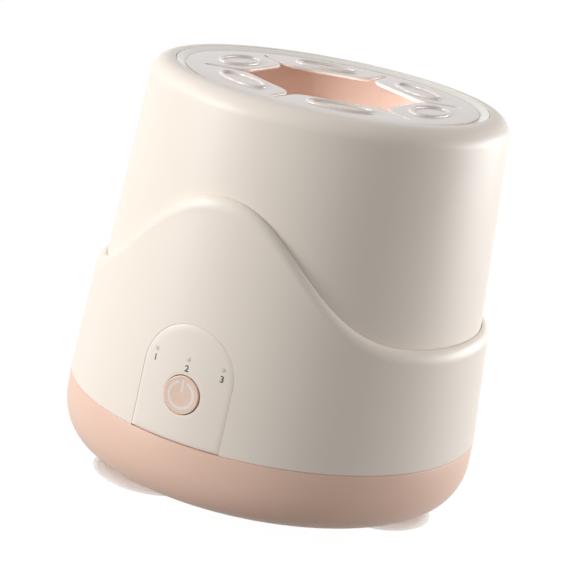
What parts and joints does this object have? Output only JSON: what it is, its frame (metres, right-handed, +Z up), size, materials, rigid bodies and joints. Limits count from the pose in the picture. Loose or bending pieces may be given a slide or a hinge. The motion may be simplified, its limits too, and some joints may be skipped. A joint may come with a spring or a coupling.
{
  "type": "automatic bottle shaker",
  "caption": "Round powered base that shakes a feeding bottle: a geared turning head with a deep cup under a soft petalled grip, a wavy-lipped shell, a power button and suction feet.",
  "frame": {"origin": "on the table under the spindle, at the middle of the base", "axes": "+Z up along the spindle, -Y towards the front with the power button"},
  "size_m": [0.14, 0.14, 0.1365],
  "materials": {
    "cream_abs": "satin",
    "pink_abs": "satin",
    "grey_silicone": "matte",
    "clear_silicone": "satin",
    "steel": "brushed",
    "bronze": "satin",
    "acetal": "satin",
    "black_nylon": "matte",
    "board_laminate": "satin",
    "cell_wrap": "gloss",
    "lamp_chip": "gloss",
    "clear_acrylic": "gloss"
  },
  "bodies": {
    "base": {"base_pan": "pink_abs", "lower_shell": "cream_abs", "control_panel": "cream_abs", "suction_feet": "clear_silicone", "base_screws": "steel", "chassis": "black_nylon", "chassis_screws": "steel", "motor_can": "steel", "motor_screws": "steel", "upper_bush": "bronze", "lower_bush": "bronze", "thrust_washer": "acetal", "idler_pin": "steel", "idler_clip": "steel", "battery_tray": "black_nylon", "battery_cell": "cell_wrap", "main_board": "board_laminate", "charge_socket": "steel", "board_screws": "steel", "switch_board": "board_laminate", "tact_switch": "black_nylon", "indicator_leds": "lamp_chip", "light_guides": "clear_acrylic", "panel_screws": "steel"},
    "head": {"upper_shell": "cream_abs", "bottle_cup": "pink_abs", "cup_pad": "grey_silicone", "clamp_ring": "cream_abs", "grip_ring": "grey_silicone", "turntable": "black_nylon", "spindle": "steel", "spindle_gear": "acetal", "spindle_clip": "steel", "hub_screw": "steel", "cup_screws": "steel", "shell_screws": "steel"},
    "idler": {"idler_gear": "acetal"},
    "rotor": {"motor_shaft": "steel", "motor_pinion": "bronze"},
    "button": {"power_button": "pink_abs", "switch_plunger": "black_nylon"},
    "petal_1": {"petal_1": "grey_silicone"},
    "petal_2": {"petal_2": "grey_silicone"},
    "petal_3": {"petal_3": "grey_silicone"},
    "petal_4": {"petal_4": "grey_silicone"},
    "petal_5": {"petal_5": "grey_silicone"},
    "petal_6": {"petal_6": "grey_silicone"}
  },
  "joints": [
    {"name": "head_spin", "type": "hinge", "parent": "base", "child": "head", "pos_m": [0, 0, 0], "axis": [0, 0, 1], "continuous": true},
    {"name": "idler_spin", "type": "hinge", "parent": "base", "child": "idler", "pos_m": [0, 0.03, 0], "axis": [0, 0, 1], "continuous": true},
    {"name": "motor_spin", "type": "hinge", "parent": "base", "child": "rotor", "pos_m": [0.02255, 0.02179, 0], "axis": [0, 0, 1], "continuous": true},
    {"name": "button_press", "type": "slide", "parent": "base", "child": "button", "axis": [0, 0.9971, -0.0758], "range_m": [0, 0.0008], "stiffness_N_per_m": 800},
    {"name": "petal_1_bend", "type": "hinge", "parent": "head", "child": "petal_1", "pos_m": [0.02074, -0.03592, 0.1351], "axis": [-0.866, -0.5, 0], "range_deg": [-25, 65], "stiffness_Nm_per_rad": 0.008},
    {"name": "petal_2_bend", "type": "hinge", "parent": "head", "child": "petal_2", "pos_m": [0.04147, 0, 0.1351], "axis": [0, -1, 0], "range_deg": [-25, 65], "stiffness_Nm_per_rad": 0.008},
    {"name": "petal_3_bend", "type": "hinge", "parent": "head", "child": "petal_3", "pos_m": [0.02074, 0.03592, 0.1351], "axis": [0.866, -0.5, 0], "range_deg": [-25, 65], "stiffness_Nm_per_rad": 0.008},
    {"name": "petal_4_bend", "type": "hinge", "parent": "head", "child": "petal_4", "pos_m": [-0.02074, 0.03592, 0.1351], "axis": [0.866, 0.5, 0], "range_deg": [-25, 65], "stiffness_Nm_per_rad": 0.008},
    {"name": "petal_5_bend", "type": "hinge", "parent": "head", "child": "petal_5", "pos_m": [-0.04147, 0, 0.1351], "axis": [0, 1, 0], "range_deg": [-25, 65], "stiffness_Nm_per_rad": 0.008},
    {"name": "petal_6_bend", "type": "hinge", "parent": "head", "child": "petal_6", "pos_m": [-0.02074, -0.03592, 0.1351], "axis": [-0.866, 0.5, 0], "range_deg": [-25, 65], "stiffness_Nm_per_rad": 0.008}
  ],
  "couplings": [
    {"joint": "idler_spin", "follows": "head_spin", "ratio": -3.2857},
    {"joint": "motor_spin", "follows": "head_spin", "ratio": 13.143}
  ]
}
